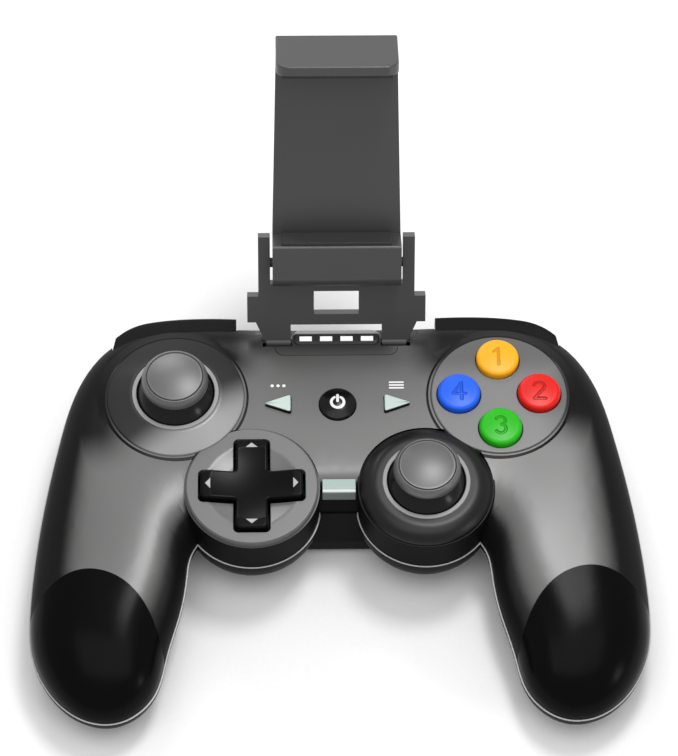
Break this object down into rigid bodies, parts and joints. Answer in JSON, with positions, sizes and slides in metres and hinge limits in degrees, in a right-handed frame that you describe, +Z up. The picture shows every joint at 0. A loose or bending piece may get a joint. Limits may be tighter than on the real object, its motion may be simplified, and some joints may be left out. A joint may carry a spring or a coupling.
{
  "type": "gamepad",
  "caption": "Wireless gamepad with two offset sticks, a cross key, coloured face buttons, triggers and a folding spring clip for a phone",
  "frame": {"origin": "middle of the flat underside, on the midline, below the face", "axes": "X to the player's right along the overall width, Y away from the player, Z up out of the face"},
  "size_m": [0.1562, 0.152, 0.0974],
  "materials": {
    "shell_grey": "satin dark grey",
    "rear_black": "satin black",
    "gloss_black": "gloss black",
    "bezel_grey": "satin mid grey",
    "collar_grey": "satin pale grey",
    "key_black": "semi-gloss black",
    "key_pale": "satin pale grey-green",
    "button_yellow": "satin yellow",
    "button_blue": "satin blue",
    "button_red": "satin red",
    "button_green": "satin green",
    "stick_rubber": "matt dark grey rubber",
    "clip_grey": "matt charcoal",
    "steel": "plain",
    "circuit_board": "green lacquer",
    "silicone": "translucent white silicone",
    "inner_plastic": "matt black moulding",
    "light_frame": "satin pale grey",
    "light_clear": "milky white, lit",
    "battery_wrap": "blue film"
  },
  "bodies": {
    "casing": {"front_shell": "shell_grey", "rear_shell": "rear_black", "left_grip_panel": "gloss_black", "right_grip_panel": "gloss_black", "main_board": "circuit_board", "shoulder_boards": "circuit_board", "left_stick_bezel": "bezel_grey", "right_stick_bezel": "gloss_black", "face_button_bezel": "bezel_grey", "cross_key_bezel": "bezel_grey", "left_stick_collar": "collar_grey", "right_stick_collar": "collar_grey", "face_button_pad": "silicone", "centre_key_pad": "silicone", "cross_key_pad": "silicone", "left_stick_module": "inner_plastic", "right_stick_module": "inner_plastic", "shell_screws": "steel", "board_screws": "steel", "charging_socket": "steel", "battery_pack": "battery_wrap", "hinge_panel": "shell_grey", "light_window": "light_frame", "light_guide": "light_clear", "status_lights": "light_clear", "bracket_hinge_pins": "steel", "bumper_pins": "steel", "trigger_pins": "steel", "trigger_springs": "steel"},
    "bracket": {"phone_bracket": "clip_grey", "clip_pin": "steel"},
    "clip": {"clip_frame": "clip_grey", "clip_cover": "clip_grey", "clip_cover_screws": "steel", "clip_springs": "steel", "lower_jaw_pad": "stick_rubber"},
    "jaw": {"upper_jaw": "clip_grey", "upper_jaw_pad": "stick_rubber"},
    "cross_rocker": {"cross_pivot": "inner_plastic"},
    "cross": {"cross_key": "key_black"},
    "button_right": {"face_button_right": "button_red"},
    "button_top": {"face_button_top": "button_yellow"},
    "button_left": {"face_button_left": "button_blue"},
    "button_bottom": {"face_button_bottom": "button_green"},
    "select_key_body": {"select_key": "key_pale"},
    "start_key_body": {"start_key": "key_pale"},
    "home_button_body": {"home_button": "gloss_black"},
    "bar_key_body": {"bar_key": "key_pale"},
    "left_yoke": {"left_stick_yoke": "inner_plastic"},
    "left_gimbal": {"left_stick_gimbal": "inner_plastic"},
    "left_stick": {"left_stick_dome": "key_black", "left_stick_cap": "stick_rubber"},
    "left_shoulder_button": {"left_bumper": "key_black"},
    "left_trigger_body": {"left_trigger": "key_black"},
    "right_yoke": {"right_stick_yoke": "inner_plastic"},
    "right_gimbal": {"right_stick_gimbal": "inner_plastic"},
    "right_stick": {"right_stick_dome": "key_black", "right_stick_cap": "stick_rubber"},
    "right_shoulder_button": {"right_bumper": "key_black"},
    "right_trigger_body": {"right_trigger": "key_black"}
  },
  "joints": [
    {"name": "press_button_right", "type": "slide", "parent": "casing", "child": "button_right", "axis": [0, 0, -1], "range_m": [0, 0.0012], "stiffness_N_per_m": 500, "springref_m": -0.001, "deforming": ["face_button_pad"]},
    {"name": "press_button_top", "type": "slide", "parent": "casing", "child": "button_top", "axis": [0, 0, -1], "range_m": [0, 0.0012], "stiffness_N_per_m": 500, "springref_m": -0.001, "deforming": ["face_button_pad"]},
    {"name": "press_button_left", "type": "slide", "parent": "casing", "child": "button_left", "axis": [0, 0, -1], "range_m": [0, 0.0012], "stiffness_N_per_m": 500, "springref_m": -0.001, "deforming": ["face_button_pad"]},
    {"name": "press_button_bottom", "type": "slide", "parent": "casing", "child": "button_bottom", "axis": [0, 0, -1], "range_m": [0, 0.0012], "stiffness_N_per_m": 500, "springref_m": -0.001, "deforming": ["face_button_pad"]},
    {"name": "press_select_key", "type": "slide", "parent": "casing", "child": "select_key_body", "axis": [0, 0, -1], "range_m": [0, 0.0008], "stiffness_N_per_m": 500, "springref_m": -0.001, "deforming": ["centre_key_pad"]},
    {"name": "press_start_key", "type": "slide", "parent": "casing", "child": "start_key_body", "axis": [0, 0, -1], "range_m": [0, 0.0008], "stiffness_N_per_m": 500, "springref_m": -0.001, "deforming": ["centre_key_pad"]},
    {"name": "press_home_button", "type": "slide", "parent": "casing", "child": "home_button_body", "axis": [0, 0, -1], "range_m": [0, 0.0008], "stiffness_N_per_m": 500, "springref_m": -0.001, "deforming": ["centre_key_pad"]},
    {"name": "press_bar_key", "type": "slide", "parent": "casing", "child": "bar_key_body", "axis": [0, 0, -1], "range_m": [0, 0.0007], "stiffness_N_per_m": 500, "springref_m": -0.001, "deforming": ["centre_key_pad"]},
    {"name": "cross_rock_forward", "type": "hinge", "parent": "casing", "child": "cross_rocker", "pos_m": [-0.022, -0.0316, 0.0195], "axis": [1, 0, 0], "range_deg": [-3.5, 3.5], "stiffness_Nm_per_rad": 0.2, "deforming": ["cross_key_pad"]},
    {"name": "cross_rock_sideways", "type": "hinge", "parent": "cross_rocker", "child": "cross", "pos_m": [-0.022, -0.0316, 0.0195], "axis": [0, 1, 0], "range_deg": [-3.5, 3.5], "stiffness_Nm_per_rad": 0.2, "deforming": ["cross_key_pad"]},
    {"name": "left_stick_tilt_forward", "type": "hinge", "parent": "casing", "child": "left_yoke", "pos_m": [-0.0414, -0.005, 0.022], "axis": [1, 0, 0], "range_deg": [-16, 16], "stiffness_Nm_per_rad": 0.05},
    {"name": "left_stick_tilt_sideways", "type": "hinge", "parent": "left_yoke", "child": "left_gimbal", "pos_m": [-0.0414, -0.005, 0.022], "axis": [0, 1, 0], "range_deg": [-16, 16], "stiffness_Nm_per_rad": 0.05},
    {"name": "left_stick_click", "type": "slide", "parent": "left_gimbal", "child": "left_stick", "axis": [0, 0, -1], "range_m": [0, 0.0005], "stiffness_N_per_m": 4000, "springref_m": -0.0005},
    {"name": "left_shoulder_press", "type": "hinge", "parent": "casing", "child": "left_shoulder_button", "pos_m": [-0.0286, 0.0156, 0.019], "axis": [0, 0, 1], "range_deg": [0, 3.5], "stiffness_Nm_per_rad": 0.3, "springref_deg": -1.72},
    {"name": "left_trigger_pull", "type": "hinge", "parent": "casing", "child": "left_trigger_body", "pos_m": [-0.0422, 0.013, 0.0114], "axis": [-1, 0, 0], "range_deg": [0, 14], "stiffness_Nm_per_rad": 0.05, "springref_deg": -8.59},
    {"name": "right_stick_tilt_forward", "type": "hinge", "parent": "casing", "child": "right_yoke", "pos_m": [0.022, -0.0316, 0.022], "axis": [1, 0, 0], "range_deg": [-16, 16], "stiffness_Nm_per_rad": 0.05},
    {"name": "right_stick_tilt_sideways", "type": "hinge", "parent": "right_yoke", "child": "right_gimbal", "pos_m": [0.022, -0.0316, 0.022], "axis": [0, 1, 0], "range_deg": [-16, 16], "stiffness_Nm_per_rad": 0.05},
    {"name": "right_stick_click", "type": "slide", "parent": "right_gimbal", "child": "right_stick", "axis": [0, 0, -1], "range_m": [0, 0.0005], "stiffness_N_per_m": 4000, "springref_m": -0.0005},
    {"name": "right_shoulder_press", "type": "hinge", "parent": "casing", "child": "right_shoulder_button", "pos_m": [0.0286, 0.0156, 0.019], "axis": [0, 0, -1], "range_deg": [0, 3.5], "stiffness_Nm_per_rad": 0.3, "springref_deg": -1.72},
    {"name": "right_trigger_pull", "type": "hinge", "parent": "casing", "child": "right_trigger_body", "pos_m": [0.0422, 0.013, 0.0114], "axis": [-1, 0, 0], "range_deg": [0, 14], "stiffness_Nm_per_rad": 0.05, "springref_deg": -8.59},
    {"name": "bracket_fold", "type": "hinge", "parent": "casing", "child": "bracket", "pos_m": [0, 0.0132, 0.0234], "axis": [1, 0, 0], "range_deg": [-35, 30]},
    {"name": "clip_tilt", "type": "hinge", "parent": "bracket", "child": "clip", "pos_m": [0, 0.02545, 0.04227], "axis": [1, 0, 0], "range_deg": [-30, 30]},
    {"name": "clip_slide", "type": "slide", "parent": "clip", "child": "jaw", "axis": [0, 0.5446, 0.8387], "range_m": [0, 0.032], "stiffness_N_per_m": 200, "springref_m": -0.01, "deforming": ["clip_springs"]}
  ]
}
